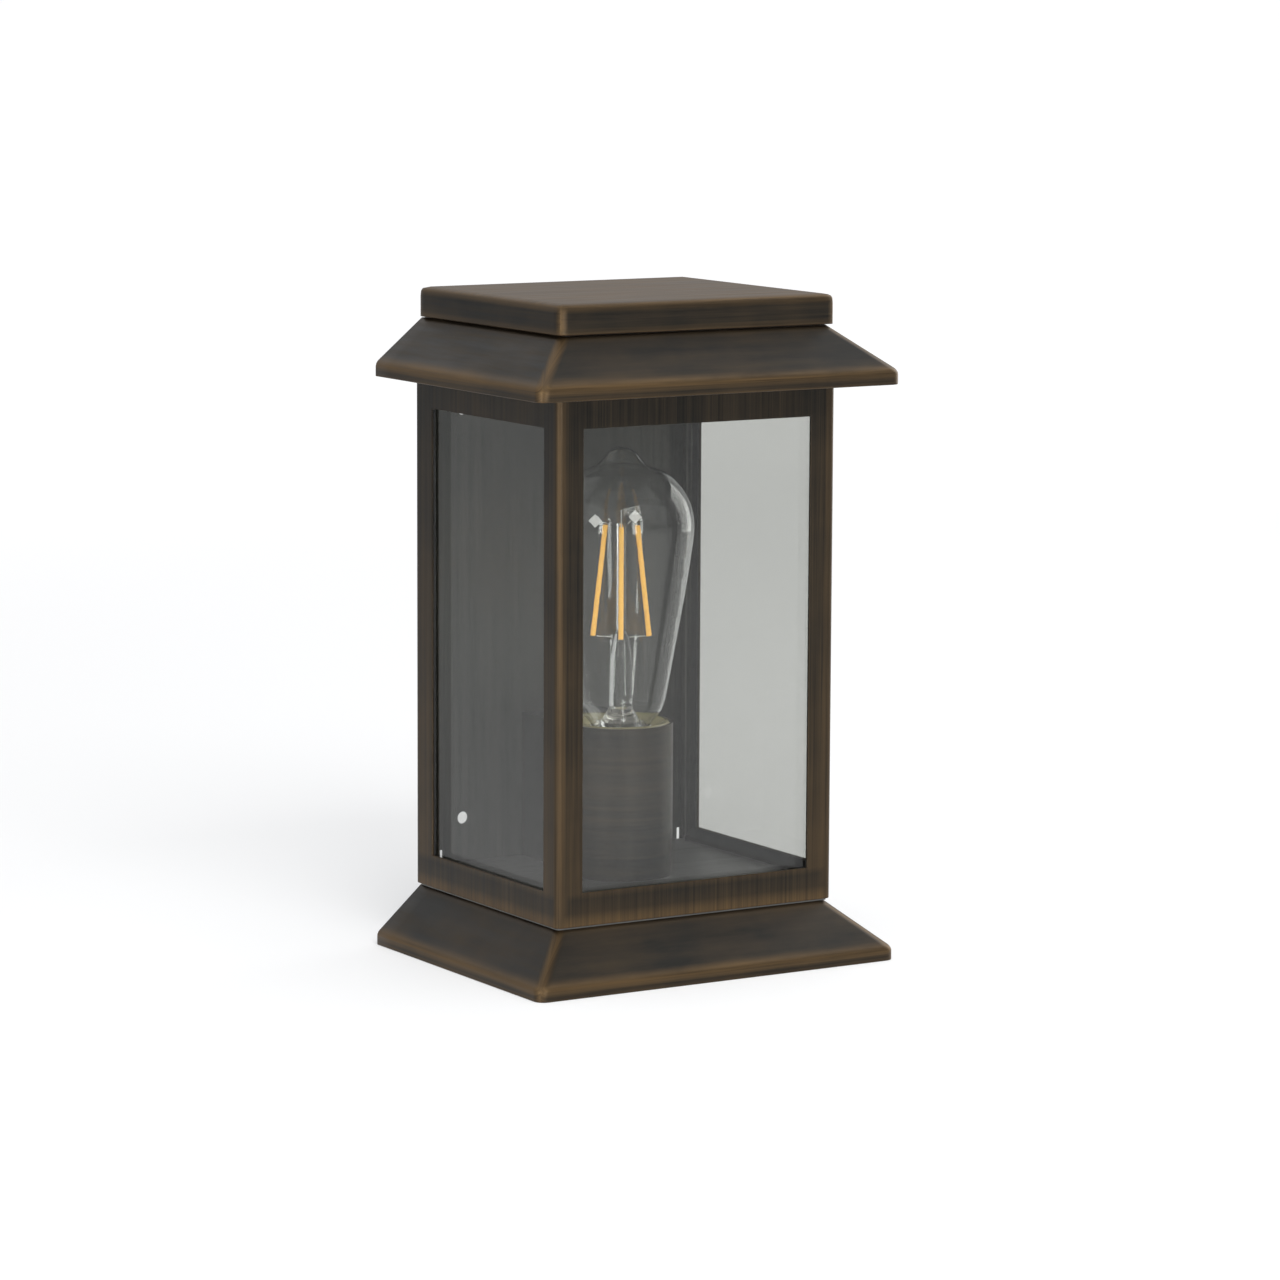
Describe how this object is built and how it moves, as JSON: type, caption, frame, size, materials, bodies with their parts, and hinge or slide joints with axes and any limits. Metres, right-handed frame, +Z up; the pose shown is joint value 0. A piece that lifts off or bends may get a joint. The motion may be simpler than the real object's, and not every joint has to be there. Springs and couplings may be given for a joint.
{
  "type": "box lantern light",
  "caption": "Flat-backed glazed box lantern with a flared base and roof round a clear filament lamp in a screw holder; the roof lifts off and the lamp unscrews.",
  "frame": {"origin": "centre of the bounding box at the floor, under the base", "axes": "+Z up, -Y the glazed front, +Y the flat back, +X to the right seen from the front"},
  "size_m": [0.18, 0.1424, 0.2905],
  "materials": {
    "bronze": "dark brushed bronze with rubbed edges",
    "bronze_inner": "dark bronze, unworn",
    "pane": "clear float glass",
    "seal": "black glazing rubber",
    "spring_steel": "spring steel",
    "zinc": "zinc-plated steel",
    "porcelain": "cream glazed porcelain",
    "phenolic": "black moulded phenolic",
    "brass": "plain brass",
    "nylon": "white nylon",
    "live": "brown PVC insulation",
    "neutral": "blue PVC insulation",
    "earth": "green PVC insulation",
    "bulb": "clear blown glass",
    "stem": "clear pressed glass",
    "nickel": "nickel-plated brass",
    "black_glass": "black insulating glass",
    "solder": "tin solder",
    "board": "circuit board",
    "phosphor": "yellow phosphor coating",
    "wire_metal": "bright nickel wire"
  },
  "bodies": {
    "housing": {"base_skirt": "bronze", "floor_tray": "bronze_inner", "base_screws": "zinc", "base_nuts": "zinc", "body_frame": "bronze", "back_plate": "bronze_inner", "glass_front": "pane", "glass_left": "pane", "glass_right": "pane", "glazing_seal_front": "seal", "glazing_seal_left": "seal", "glazing_seal_right": "seal", "glass_runners_front": "bronze_inner", "glass_runners_left": "bronze_inner", "glass_runners_right": "bronze_inner", "lampholder_tube": "bronze", "nipple": "zinc", "nipple_nut": "zinc", "nipple_locknut": "zinc", "holder_base": "phenolic", "holder_terminals": "brass", "holder_body": "porcelain", "screw_shell": "brass", "centre_contact": "brass", "wiring_cover": "bronze_inner", "cover_screws": "zinc", "wire_bush": "seal", "cable_grommet": "seal", "terminal_block": "nylon", "terminal_screws": "brass", "earth_stud": "brass", "earth_nut": "brass", "earth_lug": "brass", "wire_live": "live", "wire_neutral": "neutral", "wire_earth": "earth"},
    "roof": {"roof_skirt": "bronze", "roof_gasket": "seal", "roof_cap": "bronze", "cap_studs": "zinc", "cap_nuts": "zinc", "roof_liner": "bronze_inner", "roof_springs": "spring_steel"},
    "lamp_carrier": {"lamp_tip_contact": "solder"},
    "lamp": {"lamp_insulator": "black_glass", "lamp_screw_cap": "nickel", "lamp_driver": "board", "lamp_glass": "bulb", "lamp_stem": "stem", "lamp_filaments": "phosphor", "filament_tabs": "wire_metal", "filament_leads": "wire_metal"}
  },
  "joints": [
    {"name": "roof_lift", "type": "slide", "parent": "housing", "child": "roof", "axis": [0, 0, 1], "range_m": [0, 0.2]},
    {"name": "lamp_rise", "type": "slide", "parent": "housing", "child": "lamp_carrier", "axis": [0, 0, 1], "range_m": [0, 0.0145]},
    {"name": "lamp_turn", "type": "hinge", "parent": "lamp_carrier", "child": "lamp", "pos_m": [0, 0.0126, 0.09], "axis": [0, 0, 1], "range_deg": [0, 1440]}
  ],
  "couplings": [
    {"joint": "lamp_turn", "follows": "lamp_rise", "rad_per_m": 1731.4}
  ]
}
